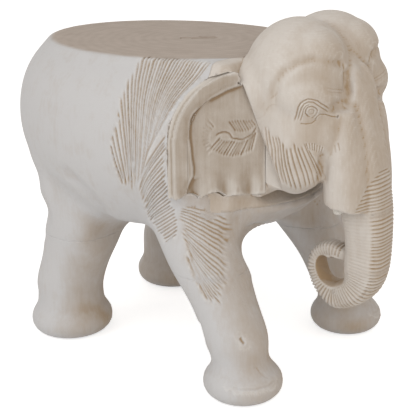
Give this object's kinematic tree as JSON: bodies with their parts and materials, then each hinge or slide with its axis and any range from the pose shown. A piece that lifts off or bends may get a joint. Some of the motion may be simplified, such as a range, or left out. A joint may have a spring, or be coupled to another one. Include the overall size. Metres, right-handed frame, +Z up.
{
  "type": "carved elephant stool",
  "caption": "Carved wooden stool in the shape of a standing elephant with a round body, a flat back as the seat, swept ears and a curled trunk.",
  "frame": {"origin": "on the floor, below the middle of the stool's length and width", "axes": "+X forward towards the trunk, +Y towards the elephant's left, +Z up"},
  "size_m": [0.5945, 0.404, 0.48],
  "materials": {
    "body_wood": "limewashed, matt",
    "head_wood": "limewashed, matt",
    "trunk_wood": "limewashed, matt",
    "ear_wood": "limewashed, matt",
    "tusk_wood": "limewashed, matt",
    "leg_wood": "limewashed, matt",
    "dowel_wood": "bare turned rod"
  },
  "bodies": {
    "root": {"body_block": "body_wood", "head_block": "head_wood", "trunk": "trunk_wood", "right_ear": "ear_wood", "left_ear": "ear_wood", "right_tusk": "tusk_wood", "left_tusk": "tusk_wood", "front_right_leg": "leg_wood", "front_left_leg": "leg_wood", "rear_right_leg": "leg_wood", "rear_left_leg": "leg_wood", "leg_dowels": "dowel_wood", "neck_dowels": "dowel_wood", "trunk_dowel": "dowel_wood", "ear_pegs": "dowel_wood"}
  },
  "joints": []
}
